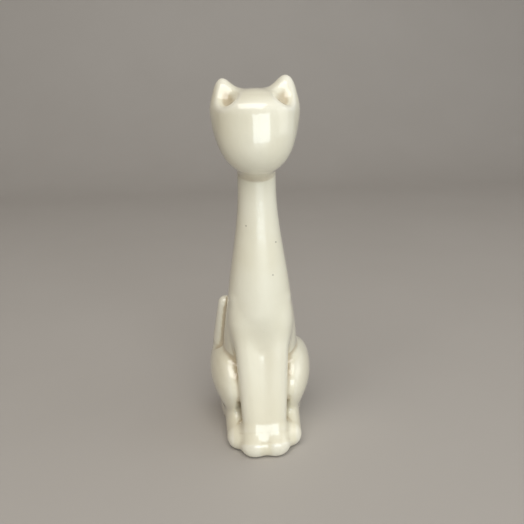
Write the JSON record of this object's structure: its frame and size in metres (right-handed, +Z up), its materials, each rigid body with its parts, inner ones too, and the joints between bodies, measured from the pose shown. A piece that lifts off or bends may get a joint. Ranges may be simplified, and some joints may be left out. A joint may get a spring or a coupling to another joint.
{
  "type": "cat figurine",
  "caption": "Tall seated cat figurine in cream glazed ceramic, long neck, plain egg-shaped head with upright ears, tail standing along one flank.",
  "frame": {"origin": "middle of the flat foot, where the figurine rests", "axes": "+Z up through the neck, -Y the way the cat faces, +X the cat's own left"},
  "size_m": [0.0846, 0.093, 0.2805],
  "materials": {
    "cream_glaze": "glossy warm cream glaze over cast earthenware",
    "bare_clay": "unglazed matt fired clay"
  },
  "bodies": {
    "root": {"head": "cream_glaze", "left_ear": "cream_glaze", "right_ear": "cream_glaze", "neck": "cream_glaze", "body": "cream_glaze", "left_foreleg": "cream_glaze", "right_foreleg": "cream_glaze", "left_front_paw": "cream_glaze", "right_front_paw": "cream_glaze", "left_haunch": "cream_glaze", "right_haunch": "cream_glaze", "left_hind_paw": "cream_glaze", "right_hind_paw": "cream_glaze", "tail": "cream_glaze", "base_plate": "bare_clay"}
  },
  "joints": []
}
